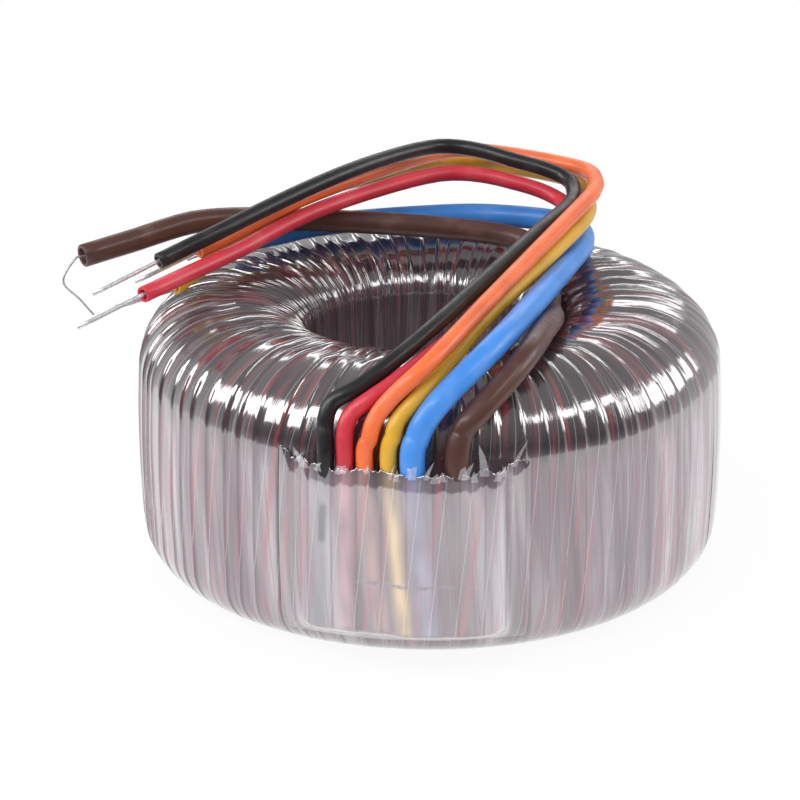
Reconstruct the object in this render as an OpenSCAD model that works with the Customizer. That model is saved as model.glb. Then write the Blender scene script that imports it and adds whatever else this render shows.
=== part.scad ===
// Toroidal transformer, 50 VA class: strip core, two caps, one primary and two secondaries,
// a finishing wrap of clear polyester tape, and six sleeved leads held on the wall by a tape patch.
// Frame: origin on the resting face at the centre of the ring, Z up, leads leave at the -Y side.

/* [Ring] */
// Outside diameter over the finishing wrap
pack_d = 80.5; // [76:0.5:84]
// Height over the finishing wrap
pack_h = 38; // [35:0.5:46]
// Diameter of the hole left through the ring
hole_d = 32.4; // [29:0.2:34]
// How much wider the wall is at half height than at its ends
wall_belly = 0.3; // [0:0.1:0.8]
// Reach of the upper outer shoulder towards the middle
shoulder_in = 11.7; // [8:0.1:12.5]
// Height of the upper outer shoulder
shoulder_drop = 9.8; // [7:0.1:11]
// Radius of the lower outer corner
foot_r = 7.3; // [5:0.1:9]
// Reach of the upper rim of the hole
rim_in = 10.6; // [8:0.1:11]
// Height of the upper rim of the hole
rim_drop = 7; // [5:0.1:9]
// Reach and height of the lower rim of the hole
heel_r = 6.5; // [4:0.1:8]

/* [Finishing wrap] */
// Turns of tape round the ring
wrap_turns = 84; // [60:2:96]
// Height of each overlap of the tape on the wall
lap_step = 0.3; // [0.1:0.05:0.5]
// Extra height of an overlap where the turns crowd at the rim of the hole
rim_crowding = 0.25; // [0:0.05:0.4]
// Angle that one edge of the tape takes round the ring
lap_edge_deg = 0.45; // [0.2:0.05:1]
// Unevenness of the turns' spacing
lap_jitter_deg = 0.7; // [0:0.1:1]
// Sideways lean of the turns over the top
lap_lean_deg = 4; // [0:0.5:6]
// Thickness of the tape layers on the wall
wrap_t = 1.7; // [1.5:0.1:2.5]
// Thickness of the tape layers in the hole, where the turns crowd
wrap_t_hole = 2; // [1.8:0.1:3]
// Thickness of the tape layers below the windings
wrap_t_base = 1.6; // [1.4:0.1:2.5]
// Thickness of the tape layers above the windings
wrap_t_top = 3; // [2.8:0.1:3.5]

/* [Windings and core] */
// Thickness of each secondary winding
secondary_t = 0.9; // [0.5:0.1:1.1]
// Thickness of the tape between the primary and the secondaries
film_t = 0.4; // [0.2:0.1:0.6]
// Thickness of the primary winding
primary_t = 1.2; // [0.8:0.1:1.4]
// Wall of the two moulded caps
cap_t = 0.8; // [0.6:0.1:1]
// Distance between the two caps at half height
cap_gap = 8; // [2:0.5:12]
// Corner radius of the core's section
core_r = 1; // [0.5:0.1:1.5]
// Clearance between one layer and the next
layer_gap = 0.1; // [0.05:0.05:0.2]

/* [Leads] */
// Outside diameter of the four secondary sleeves
thin_sleeve_d = 2.2; // [1.6:0.1:2.2]
// Outside diameter of the two primary sleeves
thick_sleeve_d = 3.2; // [2.4:0.1:3.2]
// Diameter of the tinned secondary wire
thick_wire_d = 0.6; // [0.4:0.05:1]
// Diameter of the primary wire
fine_wire_d = 0.3; // [0.2:0.05:0.5]
// Sides of each sleeve and wire
sleeve_sides = 8; // [6:1:12]

/* [Lead cover] */
// Thickness of the tape patch over the lead tails
cover_t = 0.4; // [0.3:0.05:0.5]
// Height of the patch's lower edge
cover_z0 = 3.5; // [3:0.1:5]
// Height of the patch's upper edge
cover_z1 = 29.5; // [28:0.1:30]
// Angle that the patch takes round the wall
cover_deg = 47; // [46:1:60]
// Clearance between the patch and what it covers
cover_gap = 0.15; // [0.1:0.05:0.3]

/* [Hidden] */

wall_r = pack_d / 2;
hole_r = hole_d / 2;
ring_fn = 96;

// Each layer's box in the section, as [inner radius, outer radius, lower z, upper z, corner radius].
// A layer lies inside the one before it, one layer_gap in.
function shrunk(box, by) = [box[0] + by, box[1] - by, box[2] + by, box[3] - by, box[4] - by];
layers_t = 2 * secondary_t + film_t + primary_t + cap_t + 6 * layer_gap;
wrap_cavity = [
    hole_r + wrap_t_hole, wall_r - wrap_t, wrap_t_base, pack_h - wrap_t_top, core_r + layers_t,
];
secondary_2_box = shrunk(wrap_cavity, layer_gap);
secondary_1_box = shrunk(secondary_2_box, secondary_t + layer_gap);
film_box = shrunk(secondary_1_box, secondary_t + layer_gap);
primary_box = shrunk(film_box, film_t + layer_gap);
cap_box = shrunk(primary_box, primary_t + layer_gap);
core_box = shrunk(cap_box, cap_t + layer_gap);
cap_mid_z = (core_box[2] + core_box[3]) / 2;

// Each lead's route, from its tail on the wall, over the shoulder and the hole, to its free end.
route_black = [
    [-14.5, -39.5, 7], [-13.5, -40, 28], [-13.5, -39, 33], [-12.5, -38, 36], [-8.5, -36.5, 38],
    [-0.5, -28.5, 42], [15, 3, 45.5], [19.5, 14.5, 45.5], [20.5, 20, 46], [19, 24, 47],
    [12, 27, 48.5], [1.5, 30.5, 49.5], [-13, 15.5, 49.5], [-28.5, -0.5, 46.5], [-36.5, -6, 44],
];
route_red = [
    [-11, -40.5, 7], [-11, -40.5, 28], [-11, -40, 32.5], [-10, -39, 35], [-6, -37.5, 37.5],
    [1, -30.5, 40.5], [6.5, -17, 41], [18, 12, 43], [19.5, 19, 43.5], [18, 23.5, 44],
    [12, 26, 45.5], [1.5, 26.5, 46.5], [-15.5, 12.5, 45.5], [-26, 0.5, 43.5], [-38, -14, 42],
];
route_orange = [
    [-6.5, -41.5, 7], [-8.5, -41, 28], [-8, -41, 32], [-7, -40.5, 35], [-4.5, -40, 38],
    [0, -37.5, 41.5], [7.5, -23, 44.5], [20.5, 7, 47.5], [23, 15, 47.5], [23.5, 21, 47.5],
    [21, 27, 47.5], [7.5, 37, 47], [-1, 33.5, 47], [-18, 12.5, 47], [-31.5, 0, 43.5],
];
route_yellow = [
    [-3.5, -42, 7], [-5.5, -41.5, 28], [-5, -41.5, 32.5], [-4, -40.5, 35], [0, -37.5, 38.5],
    [7, -23, 42], [20.5, 6.5, 45], [22.5, 20, 44.5], [22.5, 27, 45], [20, 31.5, 44.5],
    [12, 37, 44.5], [2, 39.5, 44.5], [-18, 17.5, 46], [-25, 9, 43], [-34.5, -5, 40],
];
route_blue = [
    [-0.5, -42.5, 7], [-2.5, -42.5, 28], [-2, -42, 32.5], [-0.5, -41.5, 35.5], [2.5, -39.5, 38.5],
    [9.5, -30.5, 42.5], [19.5, 3, 41.5], [21.5, 13, 40.5], [21.5, 20.5, 40], [19, 24.5, 40],
    [10.5, 27.5, 40], [1.5, 27.5, 40], [-15.5, 23, 40], [-27, 15, 40],
];
route_brown = [
    [4, -42.5, 7], [3, -42.5, 28], [3.5, -41.5, 33], [5, -41, 35], [8.5, -38, 38],
    [12, -33, 40.5], [14.5, -23.5, 40.5], [16, -14.5, 39], [16, -5, 37], [16.5, 4, 36.5],
    [15.5, 11, 38], [13, 17.5, 39.5], [1.5, 18.5, 41], [-18, 17.5, 42.5], [-33, 11.5, 44],
    [-47.5, 2.5, 42],
];

// Where each bare wire goes after it has left its sleeve, as offsets from the sleeve's end.
tip_black = [[-7.5, -5, -2.5]];
tip_red = [[-7.5, -5, -2.5]];
tip_orange = [[-7.5, -4.5, -2.5]];
tip_yellow = [[-7.5, -4.5, -1]];
tip_blue = [[-6, -3, -1.5]];
tip_brown = [[-1.5, -1, -2], [-1.5, -1.5, -3.5], [0.5, -2.5, -5], [2.5, -3.5, -7]];

function unit(v) = v / norm(v);

// A route with one more point in the middle of each stretch, on a smooth curve through all of them.
function mid(route, i) =
    let (a = route[i], b = route[i + 1])
    i == 0 || i == len(route) - 2 ? (a + b) / 2 : (9 * (a + b) - route[i - 1] - route[i + 2]) / 16;
function smoothed(route) =
    [for (i = [0 : len(route) - 2]) each [route[i], mid(route, i)], route[len(route) - 1]];

// Direction of a route at point i, halfway between its two neighbouring stretches.
function heading(path, i) =
    let (back = i > 0 ? unit(path[i] - path[i - 1]) : [0, 0, 0])
    let (ahead = i < len(path) - 1 ? unit(path[i + 1] - path[i]) : [0, 0, 0])
    unit(back + ahead);

// A normal carried along the route without twist.
function carried(path, i) =
    let (before = i == 0 ? [1, 0.3, 0.1] : carried(path, i - 1))
    let (ahead = heading(path, i))
    unit(before - (before * ahead) * ahead);

function ring_at(path, i, d) =
    let (side = carried(path, i))
    let (other = cross(heading(path, i), side))
    [for (k = [0 : sleeve_sides - 1])
        let (a = 360 * k / sleeve_sides)
        path[i] + d / 2 * (cos(a) * side + sin(a) * other)];

// A round tube along a route, with flat ends.
module tube(path, d) {
    n = sleeve_sides;
    last = len(path) - 1;
    rings = [for (i = [0 : last]) each ring_at(path, i, d)];
    walls = [for (i = [0 : last - 1], k = [0 : n - 1]) each [
        [i * n + k, (i + 1) * n + k, (i + 1) * n + (k + 1) % n],
        [i * n + k, (i + 1) * n + (k + 1) % n, i * n + (k + 1) % n]]];
    ends = [[for (k = [0 : n - 1]) k], [for (k = [n - 1 : -1 : 0]) last * n + k]];
    polyhedron(points = rings, faces = concat(walls, ends));
}

// The bare wire starts square on the sleeve's end face.
module wire_end(route, tip, d) {
    path = smoothed(route);
    end = path[len(path) - 1];
    out = heading(path, len(path) - 1);
    tube(concat([end, end + out], [for (step = tip) end + out + step]), d);
}

// Filled section of one layer, a box with round corners.
module layer_section(box) {
    r = box[4];
    translate([box[0] + r, box[2]]) square([box[1] - box[0] - 2 * r, box[3] - box[2]]);
    translate([box[0], box[2] + r]) square([box[1] - box[0], box[3] - box[2] - 2 * r]);
    for (x = [box[0] + r, box[1] - r], z = [box[2] + r, box[3] - r])
        translate([x, z]) circle(r = r, $fn = ring_fn);
}

module layer_body(box) {
    rotate_extrude($fn = ring_fn) layer_section(box);
}

// A closed layer of thickness t with the next layers inside it.
module layer_shell(box, t) {
    rotate_extrude($fn = ring_fn) difference() {
        layer_section(box);
        layer_section(shrunk(box, t));
    }
}

// Half of the split cap pair, from z0 to z1.
module cap_half(z0, z1) {
    rotate_extrude($fn = ring_fn) difference() {
        intersection() {
            layer_section(cap_box);
            translate([0, z0]) square([wall_r, z1 - z0]);
        }
        layer_section(shrunk(cap_box, cap_t));
    }
}

module core() {
    color("#7d7f82") layer_body(core_box);
}

module core_cap_lower() {
    color("#d9d4c4") cap_half(0, cap_mid_z - cap_gap / 2);
}

module core_cap_upper() {
    color("#d9d4c4") cap_half(cap_mid_z + cap_gap / 2, pack_h);
}

module primary_winding() {
    color("#8a3f22") layer_shell(primary_box, primary_t);
}

module interwinding_film() {
    color("#d8d2b8") layer_shell(film_box, film_t);
}

module secondary_winding_1() {
    color("#94452a") layer_shell(secondary_1_box, secondary_t);
}

module secondary_winding_2() {
    color("#a04b2c") layer_shell(secondary_2_box, secondary_t);
}

// One point of the wrap's section: [radius, height, outward radius, outward height, crowding].
// An elliptic corner about (cr, cz) with half axes ar and az, at angle a.
function corner(cr, cz, ar, az, a, crowd) =
    let (out = unit([cos(a) * az, sin(a) * ar]))
    [cr + ar * cos(a), cz + az * sin(a), out[0], out[1], crowd];

foot_c = wall_r - wall_belly;
wrap_section = concat(
    [for (a = [-90 : 22.5 : 0]) corner(foot_c - foot_r, foot_r, foot_r, foot_r, a, 0)],
    [[wall_r, pack_h * 0.45, 1, 0, 0]],
    [for (a = [0 : 15 : 90])
        corner(foot_c - shoulder_in, pack_h - shoulder_drop, shoulder_in, shoulder_drop, a, a / 180)],
    [for (a = [90 : 18 : 180])
        corner(hole_r + rim_in, pack_h - rim_drop, rim_in, rim_drop, a, 1)],
    [[hole_r, pack_h / 2, -1, 0, 0.2]],
    [for (a = [180 : 22.5 : 270]) corner(hole_r + heel_r, heel_r, heel_r, heel_r, a, 0.2)]
);

// How far the tape stands down from its outer envelope just past the edge of turn k.
function lap_depth(k, crowd) = (lap_step + rim_crowding * crowd) * (0.75 + 0.25 * sin(k * 137));

// The resting face stays flat: the overlaps fade out towards it.
function lap_share(z) = min(1, z / foot_r);

function turn_angle(k) = 360 * k / wrap_turns + lap_jitter_deg * sin(k * 97);

// A turn leans sideways where it passes over the top to the hole.
function lean(a, point) = lap_lean_deg * sin(3 * a + 40) * point[4];

function wrap_point(point, a, depth) =
    let (down = depth * lap_share(point[1]))
    let (r = point[0] - down * point[2])
    let (b = a + lean(a, point))
    [r * cos(b), r * sin(b), point[1] - down * point[3]];

// Two columns of points for each turn: the edge of the tape and the tape just past it.
module wrap_skin() {
    n = len(wrap_section);
    columns = [for (k = [0 : wrap_turns - 1], past = [0, 1])
        for (p = wrap_section)
            wrap_point(p, turn_angle(k) + past * lap_edge_deg, past * lap_depth(k, p[4]))];
    m = 2 * wrap_turns;
    faces = [for (c = [0 : m - 1], s = [0 : n - 1]) each
        let (d = (c + 1) % m, t = (s + 1) % n) [
            [c * n + s, c * n + t, d * n + t],
            [c * n + s, d * n + t, d * n + s]]];
    polyhedron(points = columns, faces = faces);
}

module outer_wrap() {
    color("#8f8489") difference() {
        wrap_skin();
        layer_body(wrap_cavity);
    }
}

// The patch swells over the tails: most over the two thick primary sleeves, nothing at its ends.
thin_top = thin_sleeve_d + 2 * cover_gap + 0.35;
thick_top = thick_sleeve_d + 2 * cover_gap + 0.45;
function smooth(x) = let (c = min(1, max(0, x))) c * c * (3 - 2 * c);
function cover_swell(a) =
    let (into = smooth((a + 116.5) / 6), over = smooth((a + 96.5) / 5), out_of = smooth((-74.5 - a) / 6))
    out_of * (into * thin_top + over * (thick_top - thin_top));

// Heights of the patch's rows, and how far each follows the swell.
cover_rows = [[cover_z0, 0], [5, 0.7], [6.4, 1], [cover_z1 / 2 + 3, 1], [cover_z1, 1]];
cover_columns = 40;
function cover_point(i, row, outer) =
    let (a = -95.5 + cover_deg * (i / cover_columns - 0.5))
    let (r = wall_r + cover_gap + row[1] * cover_swell(a) + outer * cover_t)
    [r * cos(a), r * sin(a), row[0]];

module lead_cover() {
    rows = len(cover_rows);
    n = cover_columns + 1;
    // Inner sheet first, then the outer one.
    points = [for (outer = [0, 1], row = cover_rows, i = [0 : cover_columns])
        cover_point(i, row, outer)];
    half = rows * n;
    inner = [for (j = [0 : rows - 2], i = [0 : cover_columns - 1]) each [
        [j * n + i, (j + 1) * n + i, (j + 1) * n + i + 1],
        [j * n + i, (j + 1) * n + i + 1, j * n + i + 1]]];
    outer = [for (f = inner) [half + f[0], half + f[2], half + f[1]]];
    top = (rows - 1) * n;
    rims = [for (i = [0 : cover_columns - 1]) each [
        [i, i + 1, half + i + 1], [i, half + i + 1, half + i],
        [top + i + 1, top + i, half + top + i], [top + i + 1, half + top + i, half + top + i + 1]]];
    sides = [for (j = [0 : rows - 2]) each
        let (a = j * n, b = a + n, c = a + cover_columns, d = b + cover_columns) [
            [b, a, half + a], [b, half + a, half + b],
            [c, d, half + d], [c, half + d, half + c]]];
    color("#d6d0d4") polyhedron(points = points, faces = concat(inner, outer, rims, sides));
}

module lead_black() {
    color("#1c1c1e") tube(smoothed(route_black), thin_sleeve_d);
}

module lead_red() {
    color("#b3222c") tube(smoothed(route_red), thin_sleeve_d);
}

module lead_orange() {
    color("#e5672e") tube(smoothed(route_orange), thin_sleeve_d);
}

module lead_yellow() {
    color("#d9a625") tube(smoothed(route_yellow), thin_sleeve_d);
}

module lead_blue() {
    color("#3b82d0") tube(smoothed(route_blue), thick_sleeve_d);
}

module lead_brown() {
    color("#4a2a20") tube(smoothed(route_brown), thick_sleeve_d);
}

module wire_end_black() {
    color("#b9bbbe") wire_end(route_black, tip_black, thick_wire_d);
}

module wire_end_red() {
    color("#b9bbbe") wire_end(route_red, tip_red, thick_wire_d);
}

module wire_end_orange() {
    color("#b9bbbe") wire_end(route_orange, tip_orange, thick_wire_d);
}

module wire_end_yellow() {
    color("#b9bbbe") wire_end(route_yellow, tip_yellow, thick_wire_d);
}

module wire_end_blue() {
    color("#b9bbbe") wire_end(route_blue, tip_blue, fine_wire_d);
}

module wire_end_brown() {
    color("#b9bbbe") wire_end(route_brown, tip_brown, fine_wire_d);
}

core();
core_cap_lower();
core_cap_upper();
primary_winding();
interwinding_film();
secondary_winding_1();
secondary_winding_2();
outer_wrap();
lead_cover();
lead_black();
lead_red();
lead_orange();
lead_yellow();
lead_blue();
lead_brown();
wire_end_black();
wire_end_red();
wire_end_orange();
wire_end_yellow();
wire_end_blue();
wire_end_brown();
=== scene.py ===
"""Toroidal transformer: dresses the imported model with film, sleeves and tinned wire ends."""

import math

import bpy
import numpy as np
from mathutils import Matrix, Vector, noise


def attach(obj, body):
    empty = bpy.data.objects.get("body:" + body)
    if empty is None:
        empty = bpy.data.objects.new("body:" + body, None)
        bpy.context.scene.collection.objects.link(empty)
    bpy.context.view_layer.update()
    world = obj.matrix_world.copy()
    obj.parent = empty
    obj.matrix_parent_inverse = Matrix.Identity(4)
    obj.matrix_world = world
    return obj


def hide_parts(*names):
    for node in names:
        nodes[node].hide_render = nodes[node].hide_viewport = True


MM = 0.001
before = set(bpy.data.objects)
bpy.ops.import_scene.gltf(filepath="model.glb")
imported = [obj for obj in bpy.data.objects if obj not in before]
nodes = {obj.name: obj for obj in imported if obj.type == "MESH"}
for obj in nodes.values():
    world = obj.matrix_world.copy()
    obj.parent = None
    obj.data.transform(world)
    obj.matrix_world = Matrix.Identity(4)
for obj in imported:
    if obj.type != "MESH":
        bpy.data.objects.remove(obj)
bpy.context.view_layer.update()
scene = bpy.context.scene

# ---------------------------------------------------------------- camera

TARGET = Vector((-4.1, 0, 21.9)) * MM
ELEVATION = math.radians(20.7)
DISTANCE = 0.43
camera_data = bpy.data.cameras.new("camera")
camera_data.sensor_width = 36
camera_data.lens = 139.95
camera_data.clip_start = 0.01
camera_data.clip_end = 50
camera = bpy.data.objects.new("camera", camera_data)
camera.location = TARGET + Vector((0, -math.cos(ELEVATION), math.sin(ELEVATION))) * DISTANCE
camera.rotation_euler = (math.pi / 2 - ELEVATION, 0, 0)
scene.collection.objects.link(camera)
scene.camera = camera

# ---------------------------------------------------------------- meshes


def link_mesh(name, points, faces, smooth=True):
    """A new mesh object in the scene, from points in metres."""
    mesh = bpy.data.meshes.new(name)
    mesh.from_pydata([tuple(p) for p in points], [], faces)
    mesh.validate()
    mesh.update()
    if smooth:
        mesh.polygons.foreach_set("use_smooth", [True] * len(mesh.polygons))
    piece = bpy.data.objects.new(name, mesh)
    scene.collection.objects.link(piece)
    return piece


def refined(route):
    """The route with a point in the middle of each stretch, by the rule that part.scad uses."""
    points = []
    last = len(route) - 1
    for i in range(last):
        a, b = route[i], route[i + 1]
        points.append(a)
        if i == 0 or i == last - 1:
            points.append((a + b) / 2)
        else:
            points.append((9 * (a + b) - route[i - 1] - route[i + 2]) / 16)
    points.append(route[last])
    return points


def frames_along(path):
    """Heading and a twist-free normal at each point."""
    heads = []
    for i in range(len(path)):
        before = path[max(0, i - 1)]
        after = path[min(len(path) - 1, i + 1)]
        heads.append((after - before).normalized())
    normal = heads[0].orthogonal().normalized()
    normals = []
    for head in heads:
        normal = (normal - head * normal.dot(head)).normalized()
        normals.append(normal)
    return heads, normals


SLEEVE_LIP = 0.12 * MM


def swept(name, path, radii, sides, bore=0.0, bore_depth=0.0):
    """A tube along the path. Where bore is set, its far end is open, with that inner radius."""
    heads, normals = frames_along(path)
    rings = [(path[i], heads[i], normals[i], radii[i]) for i in range(len(path))]
    if bore:
        tip, head, normal, radius = rings[-1]
        rings[-1] = (tip - head * SLEEVE_LIP, head, normal, radius)
        rings.append((tip, head, normal, radius - SLEEVE_LIP))
        rings.append((tip, head, normal, bore + SLEEVE_LIP * 0.5))
        rings.append((tip - head * SLEEVE_LIP, head, normal, bore))
        rings.append((tip - head * bore_depth, head, normal, bore))
    points, faces = [], []
    for centre, head, normal, radius in rings:
        side = head.cross(normal)
        for k in range(sides):
            a = 2 * math.pi * k / sides
            points.append(centre + (normal * math.cos(a) + side * math.sin(a)) * radius)
    for i in range(len(rings) - 1):
        for k in range(sides):
            m = (k + 1) % sides
            faces.append((i * sides + k, i * sides + m, (i + 1) * sides + m, (i + 1) * sides + k))
    faces.append(tuple(range(sides - 1, -1, -1)))
    faces.append(tuple((len(rings) - 1) * sides + k for k in range(sides)))
    return link_mesh(name, points, faces)


# ---------------------------------------------------------------- cords

# Points of each route in mm: under the cover, its exit, over the top, and the cut end.
ROUTES = {
    "black": [
        (-14.5, -39.5, 7), (-13.5, -40, 28), (-13.5, -39, 33), (-12.5, -38, 36), (-8.5, -36.5, 38),
        (-0.5, -28.5, 42), (15, 3, 45.5), (19.5, 14.5, 45.5), (20.5, 20, 46), (19, 24, 47),
        (12, 27, 48.5), (1.5, 30.5, 49.5), (-13, 15.5, 49.5), (-28.5, -0.5, 46.5), (-36.5, -6, 44),
    ],
    "red": [
        (-11, -40.5, 7), (-11, -40.5, 28), (-11, -40, 32.5), (-10, -39, 35), (-6, -37.5, 37.5),
        (1, -30.5, 40.5), (6.5, -17, 41), (18, 12, 43), (19.5, 19, 43.5), (18, 23.5, 44),
        (12, 26, 45.5), (1.5, 26.5, 46.5), (-15.5, 12.5, 45.5), (-26, 0.5, 43.5), (-38, -14, 42),
    ],
    "orange": [
        (-6.5, -41.5, 7), (-8.5, -41, 28), (-8, -41, 32), (-7, -40.5, 35), (-4.5, -40, 38),
        (0, -37.5, 41.5), (7.5, -23, 44.5), (20.5, 7, 47.5), (23, 15, 47.5), (23.5, 21, 47.5),
        (21, 27, 47.5), (7.5, 37, 47), (-1, 33.5, 47), (-18, 12.5, 47), (-31.5, 0, 43.5),
    ],
    "yellow": [
        (-3.5, -42, 7), (-5.5, -41.5, 28), (-5, -41.5, 32.5), (-4, -40.5, 35), (0, -37.5, 38.5),
        (7, -23, 42), (20.5, 6.5, 45), (22.5, 20, 44.5), (22.5, 27, 45), (20, 31.5, 44.5),
        (12, 37, 44.5), (2, 39.5, 44.5), (-18, 17.5, 46), (-25, 9, 43), (-34.5, -5, 40),
    ],
    "blue": [
        (-0.5, -42.5, 7), (-2.5, -42.5, 28), (-2, -42, 32.5), (-0.5, -41.5, 35.5),
        (2.5, -39.5, 38.5), (9.5, -30.5, 42.5), (19.5, 3, 41.5), (21.5, 13, 40.5),
        (21.5, 20.5, 40), (19, 24.5, 40), (10.5, 27.5, 40), (1.5, 27.5, 40),
        (-15.5, 23, 40), (-27, 15, 40),
    ],
    "brown": [
        (4, -42.5, 7), (3, -42.5, 28), (3.5, -41.5, 33), (5, -41, 35), (8.5, -38, 38),
        (12, -33, 40.5), (14.5, -23.5, 40.5), (16, -14.5, 39), (16, -5, 37), (16.5, 4, 36.5),
        (15.5, 11, 38), (13, 17.5, 39.5), (1.5, 18.5, 41), (-18, 17.5, 42.5), (-33, 11.5, 44),
        (-47.5, 2.5, 42),
    ],
}
SLEEVE_D = {"black": 2.2, "red": 2.2, "orange": 2.2, "yellow": 2.2, "blue": 3.2, "brown": 3.2}
WIRE_D = {"black": 0.6, "red": 0.6, "orange": 0.6, "yellow": 0.6, "blue": 0.3, "brown": 0.3}
# Where the bare wire goes, in mm from a point 1 mm past the sleeve's end.
TIPS = {
    "black": [(-7.5, -5, -2.5)],
    "red": [(-7.5, -5, -2.5)],
    "orange": [(-7.5, -4.5, -2.5)],
    "yellow": [(-7.5, -4.5, -1)],
    "blue": [(-6, -3, -1.5)],
    "brown": [(-1.5, -1, -2), (-1.5, -1.5, -3.5), (0.5, -2.5, -5), (2.5, -3.5, -7)],
}
BORE_DEPTH = 2.5 * MM
THICK_SLEEVE_FROM, THIN_WALL, THICK_WALL = 2.6, 0.42, 0.5
TINNED_FROM = 0.5
SLEEVE_SIDES, WIRE_SIDES = 24, 14
sleeves, wires = {}, {}
for colour, route in ROUTES.items():
    coarse = refined([Vector(p) * MM for p in route])
    fine = refined(refined(coarse))
    radius = SLEEVE_D[colour] / 2 * MM
    wall = (THIN_WALL if SLEEVE_D[colour] < THICK_SLEEVE_FROM else THICK_WALL) * MM
    sleeve = swept(
        "sleeve_" + colour, fine, [radius] * len(fine), SLEEVE_SIDES, radius - wall, BORE_DEPTH
    )
    out = (coarse[-1] - coarse[-2]).normalized()
    end = coarse[-1]
    wire_path = [end - out * BORE_DEPTH, end, end + out * MM]
    wire_path += [end + out * MM + Vector(t) * MM for t in TIPS[colour]]
    wire_path = refined(refined(wire_path))
    # Tinned wire is a little uneven, and its tip is nipped off square.
    wire_r = WIRE_D[colour] / 2 * MM
    radii = [wire_r * (1 + 0.1 * noise.noise(p * 900)) for p in wire_path]
    wire = swept("wire_" + colour, wire_path, radii, WIRE_SIDES)
    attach(sleeve, "root")
    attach(wire, "root")
    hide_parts("lead_" + colour)
    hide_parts("wire_end_" + colour)
    sleeves[colour], wires[colour] = sleeve, wire

# ---------------------------------------------------------------- node helpers


class Graph:
    """Short names for the nodes of one material or world."""

    def __init__(self, tree):
        self.tree = tree
        tree.nodes.clear()

    def add(self, kind, **settings):
        node = self.tree.nodes.new(kind)
        for key, value in settings.items():
            setattr(node, key, value)
        return node

    def join(self, source, socket):
        self.tree.links.new(source, socket)

    def put(self, socket, value):
        if isinstance(value, bpy.types.NodeSocket):
            self.join(value, socket)
        else:
            socket.default_value = value

    def math(self, kind, a, b=0.0, c=None):
        node = self.add("ShaderNodeMath", operation=kind)
        self.put(node.inputs[0], a)
        self.put(node.inputs[1], b)
        if c is not None:
            self.put(node.inputs[2], c)
        return node.outputs[0]

    def vector(self, x, y, z):
        node = self.add("ShaderNodeCombineXYZ")
        for socket, value in zip(node.inputs, (x, y, z)):
            self.put(socket, value)
        return node.outputs[0]

    def noise(self, at, scale, detail=2.0, roughness=0.5):
        node = self.add("ShaderNodeTexNoise")
        self.join(at, node.inputs["Vector"])
        node.inputs["Scale"].default_value = scale
        node.inputs["Detail"].default_value = detail
        node.inputs["Roughness"].default_value = roughness
        return node.outputs[0]

    def ramp(self, value, stops):
        node = self.add("ShaderNodeValToRGB")
        self.join(value, node.inputs[0])
        ramp = node.color_ramp
        while len(ramp.elements) < len(stops):
            ramp.elements.new(0.5)
        for element, (at, colour) in zip(ramp.elements, stops):
            element.position = at
            if isinstance(colour, (int, float)):
                colour = (colour,) * 3
            element.color = (*colour, 1)
        return node.outputs[0]

    def mix(self, factor, a, b):
        node = self.add("ShaderNodeMix", data_type="RGBA")
        self.put(node.inputs[0], factor)
        for socket, value in ((node.inputs[6], a), (node.inputs[7], b)):
            if isinstance(value, tuple):
                value = (*value, 1)
            self.put(socket, value)
        return node.outputs[2]

    def bump(self, height, strength, distance):
        node = self.add("ShaderNodeBump")
        node.inputs["Strength"].default_value = strength
        node.inputs["Distance"].default_value = distance
        self.join(height, node.inputs["Height"])
        return node.outputs[0]


def new_material(name):
    material = bpy.data.materials.new(name)
    material.use_nodes = True
    graph = Graph(material.node_tree)
    shader = graph.add("ShaderNodeBsdfPrincipled")
    output = graph.add("ShaderNodeOutputMaterial")
    graph.join(shader.outputs[0], output.inputs["Surface"])
    return material, graph, shader


def set_material(piece, material):
    piece.data.materials.clear()
    piece.data.materials.append(material)


def plain_material(
    name, colour, roughness, metallic=0.0, grain=600.0, spread=0.12, depth=0.03
):
    """Moulded, wound or metal stock: a mottled colour with a fine uneven surface."""
    material, g, shader = new_material(name)
    place = g.add("ShaderNodeTexCoord").outputs["Object"]
    mottle = g.noise(place, grain, 4)
    dark = tuple(c * (1 - spread) for c in colour)
    light = tuple(min(1, c * (1 + spread) + 0.01) for c in colour)
    g.join(g.ramp(mottle, [(0.3, dark), (0.7, light)]), shader.inputs["Base Color"])
    patches = g.noise(place, grain * 0.4, 3)
    rough = g.ramp(patches, [(0.3, roughness * 0.85), (0.7, roughness * 1.15)])
    g.join(rough, shader.inputs["Roughness"])
    g.join(g.bump(mottle, 0.4, depth * MM), shader.inputs["Normal"])
    shader.inputs["Metallic"].default_value = metallic
    return material


def sleeve_material(name, colour, glare):
    """Soft PVC sleeve: slightly waxy, with faint rub marks along it and pale patches of painted
    glare.
    """
    material, g, shader = new_material(name)
    place = g.add("ShaderNodeTexCoord").outputs["Object"]
    cloud = g.noise(place, 160, 3)
    shade = tuple(c * 0.82 for c in colour)
    # Pale patches towards light grey are painted glare.
    painted_glare_tone = tuple(c + (0.8 - c) * glare for c in colour)
    g.join(g.ramp(cloud, [(0.32, shade), (0.55, colour), (0.8, painted_glare_tone)]), shader.inputs["Base Color"])
    scuff = g.noise(place, 900, 5, 0.65)
    g.join(g.ramp(scuff, [(0.35, 0.3), (0.7, 0.5)]), shader.inputs["Roughness"])
    g.join(g.bump(g.noise(place, 420, 4), 0.25, 0.05 * MM), shader.inputs["Normal"])
    shader.inputs["IOR"].default_value = 1.5
    shader.inputs["Coat Weight"].default_value = 0.12
    shader.inputs["Coat Roughness"].default_value = 0.22
    return material


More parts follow.
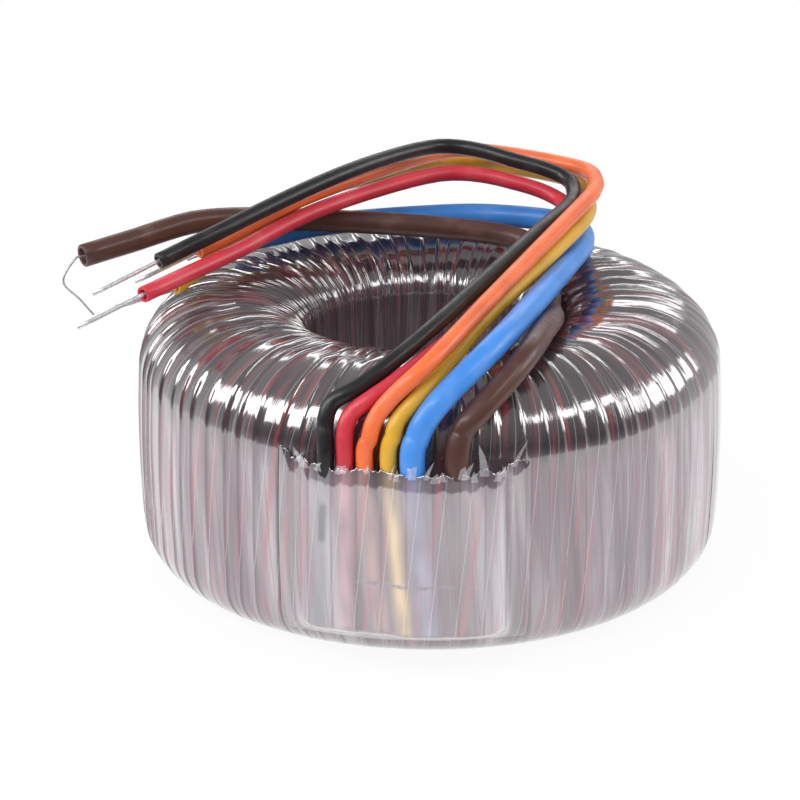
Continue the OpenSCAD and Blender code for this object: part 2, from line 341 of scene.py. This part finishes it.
def film_material(name, tinted):
    """Many layers of clear polyester tape over dark red-brown wire.

    The map's first coordinate counts the turns of tape, and the second is the way along a
    turn in cm. Where tinted is set, the mesh's own colours show through the film.
    """
    material, g, shader = new_material(name)
    at = g.add("ShaderNodeUVMap", uv_map="turns").outputs[0]
    parts = g.add("ShaderNodeSeparateXYZ")
    g.join(at, parts.inputs[0])
    turn, along = parts.outputs[0], parts.outputs[1]

    def streaks(across, turn_scale, along_scale, offset, detail, roughness=0.5):
        x = g.math("MULTIPLY", across, turn_scale)
        y = g.math("MULTIPLY", along, along_scale)
        return g.noise(g.vector(x, y, offset), 1.0, detail, roughness)

    # Tape edges seen through the upper layers lean a little and cross the turns.
    lean_a = g.math("MULTIPLY_ADD", along, 0.22, turn)
    lean_b = g.math("MULTIPLY_ADD", along, -0.31, turn)
    streak = streaks(turn, 5.0, 0.5, 0.0, 6, 0.6)
    broad = streaks(lean_a, 1.1, 0.25, 3.0, 3)
    red = streaks(lean_b, 2.4, 0.3, 7.0, 5, 0.62)
    cell = g.add("ShaderNodeTexWhiteNoise", noise_dimensions="1D")
    g.join(g.math("FLOOR", turn), cell.inputs["W"])
    per_turn = cell.outputs["Value"]
    # The wire under the film: dark grey-brown with red-brown bands.
    wire = g.ramp(
        red,
        [(0.36, (0.02, 0.018, 0.022)), (0.53, (0.045, 0.032, 0.038)), (0.66, (0.27, 0.035, 0.045))],
    )
    # The film's milky colour is strongest on the wall, faint over the top and lighter again down
    # the hole: partly the film's own haze, partly painted light that lightens the wall and the hole
    # against the darker top.
    wall = g.ramp(
        g.math("MULTIPLY", along, 0.1),
        [(0.0, 1.0), (0.295, 1.0), (0.34, 0.08), (0.6, 0.06), (0.68, 0.45), (1.0, 0.65)],
    )
    milk_and_painted_light_tone = g.ramp(
        broad, [(0.32, (0.2, 0.145, 0.18)), (0.5, (0.29, 0.24, 0.275)), (0.68, (0.52, 0.48, 0.52))]
    )
    pink = g.mix(g.ramp(red, [(0.5, 0.0), (0.66, 0.6)]), milk_and_painted_light_tone, (0.4, 0.16, 0.2))
    amount = g.math("MULTIPLY", wall, g.ramp(streak, [(0.3, 0.72), (0.7, 0.97)]))
    amount = g.math("MULTIPLY", amount, g.math("MULTIPLY_ADD", per_turn, 0.25, 0.8))
    base = g.mix(amount, wire, pink)
    # Edges of the tape: painted shade darkens the step at every turn's edge, thin dark lines mark
    # some inner layers, and thin pale lines that lean across the turns are painted highlights.
    edge = g.math("FRACT", turn)
    inner = g.math("FRACT", g.math("ADD", lean_a, 0.41))
    edge_step_painted_shade = g.ramp(edge, [(0.0, 0.55), (0.05, 0.2), (0.1, 0.0), (0.93, 0.0), (1.0, 0.5)])
    dark_inner = g.ramp(inner, [(0.0, 0.0), (0.47, 0.0), (0.5, 0.5), (0.53, 0.0), (1.0, 0.0)])
    base = g.mix(edge_step_painted_shade, base, (0.09, 0.035, 0.045))
    base = g.mix(dark_inner, base, (0.16, 0.06, 0.07))
    crossing = g.math("FRACT", g.math("ADD", lean_b, 0.13))
    painted_highlight_line = g.ramp(crossing, [(0.0, 0.0), (0.64, 0.0), (0.66, 0.45), (0.69, 0.0), (1.0, 0.0)])
    base = g.mix(painted_highlight_line, base, (0.66, 0.63, 0.66))
    if tinted:
        tint = g.add("ShaderNodeAttribute", attribute_name="tint")
        base = g.mix(tint.outputs["Alpha"], base, tint.outputs["Color"])
    g.join(base, shader.inputs["Base Color"])
    g.join(g.ramp(streak, [(0.3, 0.07), (0.75, 0.22)]), shader.inputs["Roughness"])
    crease = streaks(turn, 2.2, 1.4, 1.0, 5, 0.6)
    height = g.math("MULTIPLY_ADD", streak, 0.4, crease)
    g.join(g.bump(height, 0.35, 0.22 * MM), shader.inputs["Normal"])
    # The wall mirrors the room less than the top does.
    g.join(g.math("MULTIPLY_ADD", wall, -0.7 if tinted else -1.2, 3.0), shader.inputs["IOR"])
    shader.inputs["Coat Weight"].default_value = 0.9
    shader.inputs["Coat IOR"].default_value = 1.7
    shader.inputs["Coat Roughness"].default_value = 0.07
    return material


# ---------------------------------------------------------------- finishing wrap (mm)

WALL_R, PACK_H, HOLE_R = 40.25, 38.0, 16.2
BELLY, SHOULDER_IN, SHOULDER_DROP, FOOT_R = 0.3, 11.7, 9.8, 7.3
RIM_IN, RIM_DROP, HEEL_R = 10.6, 7.0, 6.5
TURNS = 84
FOOT_C = WALL_R - BELLY
WALL_Z1 = PACK_H - SHOULDER_DROP


def corner(cr, cz, ar, az, degrees, crowd):
    """A point of an elliptic corner: radius, height, outward normal, and how the tape crowds."""
    a = math.radians(degrees)
    out = Vector((math.cos(a) * az, math.sin(a) * ar)).normalized()
    return (cr + ar * math.cos(a), cz + az * math.sin(a), out.x, out.y, crowd)


def wrap_section():
    """The ring's section from the foot up the wall, over the top, and down the hole."""
    rows = [corner(FOOT_C - FOOT_R, FOOT_R, FOOT_R, FOOT_R, a, 0) for a in range(-90, 0, 9)]
    for i in range(12):
        t = i / 12
        z = FOOT_R + (WALL_Z1 - FOOT_R) * t
        rows.append((FOOT_C + BELLY * math.sin(math.pi * t), z, 1, 0, 0))
    for a in np.arange(0, 90, 4.5):
        rows.append(corner(FOOT_C - SHOULDER_IN, WALL_Z1, SHOULDER_IN, SHOULDER_DROP, a, a / 180))
    for a in np.arange(90, 181, 4.5):
        rows.append(corner(HOLE_R + RIM_IN, PACK_H - RIM_DROP, RIM_IN, RIM_DROP, a, 1))
    for i in range(1, 8):
        t = i / 8
        z = PACK_H - RIM_DROP + (HEEL_R - PACK_H + RIM_DROP) * t
        rows.append((HOLE_R, z, -1, 0, 1 - 0.8 * t))
    heel = range(180, 271, 15)
    return rows + [corner(HOLE_R + HEEL_R, HEEL_R, HEEL_R, HEEL_R, a, 0.2) for a in heel]


def turn_angle(k):
    return 360 * k / TURNS + 0.7 * math.sin(math.radians(k * 97))


def lap_depth(k, crowd):
    return (0.3 + 0.25 * crowd) * (0.75 + 0.25 * math.sin(math.radians(k * 137)))


# Across one turn: the tape's edge, the step down beside it, and the slow climb to the next edge.
ACROSS = [0.0, 0.04, 0.1, 0.25, 0.4, 0.55, 0.7, 0.85]


def build_wrap():
    section = wrap_section()
    rows = len(section)
    arc = [0.0]
    for a, b in zip(section[:-1], section[1:]):
        arc.append(arc[-1] + math.hypot(b[0] - a[0], b[1] - a[1]) / 10)
    points, turns_at = [], []
    for k in range(TURNS):
        a0, a1 = turn_angle(k), turn_angle(k + 1)
        for share in ACROSS:
            base_angle = a0 + (a1 - a0) * share
            turns_at.append(k + share)
            for j, (r, z, nr, nz, crowd) in enumerate(section):
                fade = min(1, z / FOOT_R)
                fall = lap_depth(k, crowd) * fade
                down = fall * (0.0 if share == 0 else min(1, share / 0.08) * (1 - share) ** 0.8)
                wave = noise.noise(Vector((k * 0.9 + share * 2.2, arc[j] * 0.9, 4.0)))
                crumple = noise.noise(Vector((k * 3.1 + share * 5.0, arc[j] * 3.2, 9.0)))
                rough = (0.03 + 0.1 * crowd) * (0.5 + 0.5 * crumple)
                down += fade * (0.06 + 0.06 * wave + rough)
                # Each turn lies at its own slant, so its neighbours catch the light differently.
                slant = (0.1 + 0.22 * crowd) * math.sin(math.radians(k * 211 + 40 * wave))
                down += fade * (slant * (share - 0.45) + 0.5 * abs(slant))
                wander = 0.55 * noise.noise(Vector((k * 1.7, arc[j] * 0.35, 2.0))) * fade
                sway = 4 * math.sin(math.radians(3 * base_angle + 40)) * crowd
                b = math.radians(base_angle + wander + sway)
                rr = r - down * nr
                points.append((rr * math.cos(b) * MM, rr * math.sin(b) * MM, (z - down * nz) * MM))
    columns = len(turns_at)
    faces, maps = [], []
    for c in range(columns):
        d = (c + 1) % columns
        u0 = turns_at[c]
        u1 = turns_at[d] if d else float(TURNS)
        for s in range(rows):
            t = (s + 1) % rows
            v0 = arc[s]
            v1 = arc[t] if t else arc[s] + 1.0
            faces.append((c * rows + s, d * rows + s, d * rows + t, c * rows + t))
            maps.append((u0, v0, u1, v0, u1, v1, u0, v1))
    wrap = link_mesh("wrap", points, faces)
    layer = wrap.data.uv_layers.new(name="turns")
    layer.data.foreach_set("uv", np.array(maps, dtype=np.float32).ravel())
    return wrap


wrap = build_wrap()
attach(wrap, "root")
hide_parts("outer_wrap")
set_material(wrap, film_material("wrap_film", False))

# ---------------------------------------------------------------- lead cover (mm, degrees)

COVER_Z0, COVER_Z1 = 3.5, 29.5
COVER_DEG, COVER_MID = 47.0, -95.5
COVER_T, FILM_T, COVER_GAP = 0.4, 0.05, 0.15
TORN_DEEP = 2.2
COVER_COLUMNS, COVER_ROWS = 160, 92
# Above the foot, the way along a turn in cm is the height in cm and this much more.
FOOT_ARC = 0.417
THIN_TOP = 2.2 + 2 * COVER_GAP + 0.35
THICK_TOP = 3.2 + 2 * COVER_GAP + 0.45


def smooth_step(x):
    x = min(1.0, max(0.0, x))
    return x * x * (3 - 2 * x)


def cover_swell(a):
    """How far the cover stands off the wall at angle a, where the tails lie under it."""
    into = smooth_step((a + 116.5) / 6)
    over = smooth_step((a + 98.5) / 4.5)
    out_of = smooth_step((-74.5 - a) / 6)
    return out_of * (into * THIN_TOP + over * (THICK_TOP - THIN_TOP))


def tail_point(colour, z):
    """The middle of a lead's tail at height z, under the cover."""
    a, b = Vector(ROUTES[colour][0]), Vector(ROUTES[colour][1])
    return a + (b - a) * min(1.15, max(0, (z - a.z) / (b.z - a.z)))


# How the tails show through the film: colour and strength.
TAILS = {
    "black": ((0.2, 0.23, 0.25), 0.75),
    "red": ((0.72, 0.42, 0.47), 0.6),
    "orange": ((0.75, 0.47, 0.42), 0.5),
    "yellow": ((0.8, 0.6, 0.34), 0.85),
    "blue": ((0.52, 0.56, 0.76), 0.55),
    "brown": ((0.5, 0.46, 0.45), 0.2),
}
TAIL_Z0 = 7
PRESSED_Z0, PRESSED_Z1 = 17.5, 24.5
STRIP_FROM, STRIP_TO, STRIP_Z, STRIP_HALF = -103, -82, 13.4, 0.17


def wall_radius(z):
    """The wrap's own outline below the shoulder, which the cover's borders hug."""
    if z < FOOT_R:
        return FOOT_C - FOOT_R + math.sqrt(FOOT_R**2 - (FOOT_R - z) ** 2)
    return FOOT_C + BELLY * math.sin(math.pi * min(1, (z - FOOT_R) / (WALL_Z1 - FOOT_R)))


def torn_top(a):
    """The patch's upper edge is ragged where the leads have pulled at it."""
    wide = noise.noise(Vector((a * 0.35, 1.0, 8.0)))
    narrow = noise.noise(Vector((a * 1.9, 5.0, 8.0)))
    jag = 0.5 + 0.5 * wide + 0.35 * narrow
    return COVER_Z1 - TORN_DEEP * min(1.0, max(0.0, jag))


def tail_tint(a, x, z):
    """What shows through at angle a and height z: a colour, its strength, the nearest tail."""
    strength, tone, nearest = 0.0, (0.5, 0.49, 0.52), 9.0
    for colour, (hue, share) in TAILS.items():
        reach = SLEEVE_D[colour] / 2
        off = abs(x - tail_point(colour, z).x) / reach
        nearest = min(nearest, off)
        seen = share * math.exp(-((off / 0.85) ** 2)) * smooth_step((z - TAIL_Z0 + 1) / 1.2)
        seen *= 0.75 + 0.7 * noise.noise(Vector((a * 0.4, z * 0.2, 3.0 + share)))
        if seen > strength:
            strength, tone = seen, hue
    # The black tail is pressed against the film over a short stretch.
    black = abs(x - tail_point("black", z).x - 0.012 * (z - 20)) / 0.55
    pressed = math.exp(-(black**4)) * smooth_step((z - PRESSED_Z0) / 1.5)
    pressed *= smooth_step((PRESSED_Z1 - z) / 1.5)
    if pressed > 0.4:
        strength, tone = 0.85 * pressed, (0.09, 0.1, 0.11)
    # Edges of the strip of tape laid across the tails.
    wavy = 0.25 * noise.noise(Vector((a * 0.2, 0, 1)))
    if STRIP_FROM < a < STRIP_TO and abs(z - STRIP_Z - wavy) < STRIP_HALF:
        strength, tone = max(strength, 0.3), (0.3, 0.27, 0.3)
    return tone, max(0.0, min(0.92, strength)), nearest


def build_cover():
    """The patch of film over the tails: it bulges over them and thins out at its borders."""
    columns, rows = COVER_COLUMNS, COVER_ROWS
    points, tints = [], []
    for outer in (0, 1):
        for j in range(rows + 1):
            for i in range(columns + 1):
                a = COVER_MID + COVER_DEG * (i / columns - 0.5)
                z = COVER_Z0 + (torn_top(a) - COVER_Z0) * j / rows
                follow = smooth_step((z - COVER_Z0) / 3.3)
                b = math.radians(a)
                r = wall_radius(z) + 0.05 + follow * (cover_swell(a) + 0.1)
                tone, strength, nearest = tail_tint(a, r * math.cos(b), z)
                dip = 0.3 * smooth_step(nearest - 0.95) * follow * smooth_step((a + 113) / 3)
                dip *= smooth_step((-77 - a) / 3)
                side = min(i, columns - i) / columns * COVER_DEG * 0.7
                border = min(side, (z - COVER_Z0), (rows - j) * 0.28)
                thick = FILM_T + (COVER_T - FILM_T) * smooth_step(border / 2.0)
                r += outer * thick - dip - 0.04 * (1 + noise.noise(Vector((a * 0.9, z * 0.2, 6))))
                points.append((r * math.cos(b) * MM, r * math.sin(b) * MM, z * MM))
                tints.append((*tone, strength))
    n = columns + 1
    half = (rows + 1) * n
    faces = []
    for side in (0, 1):
        for j in range(rows):
            for i in range(columns):
                p = side * half + j * n + i
                quad = (p, p + 1, p + n + 1, p + n)
                faces.append(quad if side else quad[::-1])
    for i in range(columns):
        top = rows * n + i
        faces.append((i, i + 1, half + i + 1, half + i))
        faces.append((top + 1, top, half + top, half + top + 1))
    for j in range(rows):
        a, c = j * n, j * n + columns
        faces.append((a + n, a, half + a, half + a + n))
        faces.append((c, c + n, half + c + n, half + c))
    cover = link_mesh("cover", points, faces)
    mesh = cover.data
    layer = mesh.uv_layers.new(name="turns")
    values = np.zeros((len(mesh.loops), 2), dtype=np.float32)
    for loop in mesh.loops:
        x, y, z = mesh.vertices[loop.vertex_index].co
        angle = math.degrees(math.atan2(y, x)) % 360
        values[loop.index] = (angle / 360 * TURNS, FOOT_ARC + z * 100)
    layer.data.foreach_set("uv", values.ravel())
    attribute = mesh.color_attributes.new(name="tint", type="FLOAT_COLOR", domain="POINT")
    attribute.data.foreach_set("color", np.array(tints, dtype=np.float32).ravel())
    return cover


cover = build_cover()
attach(cover, "root")
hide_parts("lead_cover")
set_material(cover, film_material("cover_film", True))


FLAKES, FLAKE_ROWS, FLAKE_R_MAX = 24, 5, 44.6


def build_flakes():
    """Torn slivers of film that stand at the leads' exits."""
    points, faces = [], []
    for i in range(FLAKES):
        pick = [noise.noise(Vector((i * 1.37, 2.0 * c, 11.0))) for c in range(5)]
        a = -114 + 1.62 * i + 3.2 * pick[0]
        r = WALL_R + 0.35 + cover_swell(a) + 0.2 * pick[1]
        z = torn_top(a) - 0.6 + 0.8 * pick[2]
        length, drift = 0.9 + 4.2 * abs(pick[3]), 5.0 * pick[4]
        start = len(points)
        for row in range(FLAKE_ROWS):
            t = row / (FLAKE_ROWS - 1)
            width = (0.85 + 1.3 * pick[1]) * (1 - t) ** 0.5 + 0.04
            angle = a + drift * t * t
            rr = min(FLAKE_R_MAX, r + 0.5 * math.sin(3 * t + 4 * pick[2])) - 1.1 * t * t
            for side in (-1, 1):
                b = math.radians(angle + side * width * 0.7)
                points.append((rr * math.cos(b) * MM, rr * math.sin(b) * MM, (z + length * t) * MM))
            if row:
                q = start + 2 * row
                faces.append((q - 2, q - 1, q + 1, q))
    return link_mesh("film_flakes", points, faces)


flakes = build_flakes()
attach(flakes, "root")
flake_film, g, shader = new_material("flake_film")
place = g.add("ShaderNodeTexCoord").outputs["Object"]
haze = g.noise(place, 1500, 3)
cloudy = g.ramp(haze, [(0.3, (0.7, 0.68, 0.72)), (0.7, (0.92, 0.9, 0.94))])
g.join(cloudy, shader.inputs["Base Color"])
g.join(g.bump(haze, 0.5, 0.05 * MM), shader.inputs["Normal"])
shader.inputs["Roughness"].default_value = 0.1
shader.inputs["Alpha"].default_value = 0.26
shader.inputs["IOR"].default_value = 2.2
set_material(flakes, flake_film)

# ---------------------------------------------------------------- other materials

# Colour of each sleeve, and how much painted glare pales it in patches.
SLEEVE_COLOURS = {
    "black": ((0.013, 0.013, 0.015), 0.03),
    "red": ((0.58, 0.028, 0.05), 0.06),
    "orange": ((0.82, 0.15, 0.035), 0.06),
    "yellow": ((0.66, 0.36, 0.02), 0.05),
    "blue": ((0.045, 0.24, 0.7), 0.08),
    "brown": ((0.085, 0.032, 0.024), 0.08),
}
tinned = plain_material("tinned_wire", (0.8, 0.8, 0.8), 0.36, 0.75, 2500, 0.15, 0.05)
fine_wire = plain_material("fine_wire", (0.5, 0.49, 0.49), 0.4, 0.7, 3000, 0.2, 0.03)
for colour, (tone, glare) in SLEEVE_COLOURS.items():
    set_material(sleeves[colour], sleeve_material("sleeve_" + colour, tone, glare))
    set_material(wires[colour], fine_wire if WIRE_D[colour] < TINNED_FROM else tinned)

steel = plain_material("core_strip", (0.32, 0.33, 0.35), 0.45, 1.0, 300)
moulding = plain_material("cap_moulding", (0.62, 0.58, 0.5), 0.55)
enamel = plain_material("winding", (0.38, 0.09, 0.04), 0.3, 0.6, 900, 0.25, 0.06)
inner_tape = plain_material("inner_tape", (0.66, 0.62, 0.5), 0.25)
# The pieces inside the wrap keep their CAD meshes and only take a material.
HIDDEN = {
    "core": steel, "core_cap_lower": moulding, "core_cap_upper": moulding,
    "primary_winding": enamel, "secondary_winding_1": enamel, "secondary_winding_2": enamel,
    "interwinding_film": inner_tape,
}
for name, material in HIDDEN.items():
    for holder in nodes[name].material_slots:
        holder.material = material
    if not nodes[name].material_slots:
        nodes[name].data.materials.append(material)

# ---------------------------------------------------------------- floor, world and lamps

FLOOR_R, FLOOR_Z, FLOOR_SIDES = 0.14, -0.0002, 95
round_floor = np.linspace(0, 2 * math.pi, FLOOR_SIDES + 1)[:-1]
floor = link_mesh(
    "floor",
    [(FLOOR_R * math.cos(a), FLOOR_R * math.sin(a), FLOOR_Z) for a in round_floor],
    [tuple(range(FLOOR_SIDES))],
    False,
)
floor_material = bpy.data.materials.new("floor")
floor_material.use_nodes = True
g = Graph(floor_material.node_tree)
rays = g.add("ShaderNodeLightPath")
seen = g.math("MAXIMUM", rays.outputs["Is Camera Ray"], rays.outputs["Is Glossy Ray"])
seen = g.math("MAXIMUM", seen, rays.outputs["Is Transmission Ray"])
paint = g.add("ShaderNodeBsdfDiffuse")
paint.inputs["Color"].default_value = (0.9, 0.9, 0.9, 1)
white = g.add("ShaderNodeEmission")
blend = g.add("ShaderNodeMixShader")
g.join(g.math("MULTIPLY", seen, 0.93), blend.inputs[0])
g.join(paint.outputs[0], blend.inputs[1])
g.join(white.outputs[0], blend.inputs[2])
g.join(blend.outputs[0], g.add("ShaderNodeOutputMaterial").inputs["Surface"])
set_material(floor, floor_material)

AMBIENT, BACKDROP = 0.75, 0.6
AIM = Vector((0, 0, 0.02))
world = bpy.data.worlds.new("studio")
world.use_nodes = True
scene.world = world
g = Graph(world.node_tree)
rays = g.add("ShaderNodeLightPath")
direction = g.add("ShaderNodeSeparateXYZ")
g.join(g.add("ShaderNodeTexCoord").outputs["Generated"], direction.inputs[0])
# A white backdrop stands behind the object; the room in front of it and above it is dim.
behind = g.math("MULTIPLY_ADD", direction.outputs[1], 1.5, 0.5)
behind = g.math("MINIMUM", g.math("MAXIMUM", behind, 0.0), 1.0)
low = g.math("MAXIMUM", g.math("SUBTRACT", 0.9, direction.outputs[2]), 0.0)
backdrop = g.math("MULTIPLY", g.math("MULTIPLY", behind, low), BACKDROP)
room = g.math("MULTIPLY_ADD", g.math("MAXIMUM", direction.outputs[2], 0.0), 0.25, 0.03)
mirrored = g.math("ADD", backdrop, room)
glossy = rays.outputs["Is Glossy Ray"]
direct = g.math("MAXIMUM", rays.outputs["Is Camera Ray"], rays.outputs["Is Transmission Ray"])
soft = g.math("MULTIPLY", g.math("SUBTRACT", 1.0, glossy), AMBIENT)
ambient = g.math("ADD", g.math("MULTIPLY", glossy, mirrored), soft)
level = g.math("MAXIMUM", direct, ambient)
background = g.add("ShaderNodeBackground")
background.inputs["Color"].default_value = (1, 1, 1, 1)
g.join(level, background.inputs["Strength"])
g.join(background.outputs[0], g.add("ShaderNodeOutputWorld").inputs["Surface"])


def softbox(name, place, width, height, radiance):
    """A rectangular lamp that points at the object."""
    lamp = bpy.data.lights.new(name, "AREA")
    lamp.shape = "RECTANGLE"
    lamp.size, lamp.size_y = width, height
    lamp.energy = radiance * math.pi * width * height
    holder = bpy.data.objects.new(name, lamp)
    holder.location = place
    holder.rotation_euler = (AIM - Vector(place)).to_track_quat("-Z", "Y").to_euler()
    scene.collection.objects.link(holder)


softbox("box_left", (-0.8, -0.1, 0.45), 0.6, 0.3, 5.0)
softbox("box_right", (0.82, 0.1, 0.35), 0.6, 0.35, 3.6)
softbox("box_front", (-0.42, -0.42, 0.66), 0.8, 0.2, 6.0)
softbox("box_right_high", (0.6, -0.35, 0.66), 0.45, 0.16, 5.0)
softbox("box_back", (0.1, 0.85, 0.5), 0.9, 0.14, 3.2)

scene.view_settings.view_transform = "Standard"
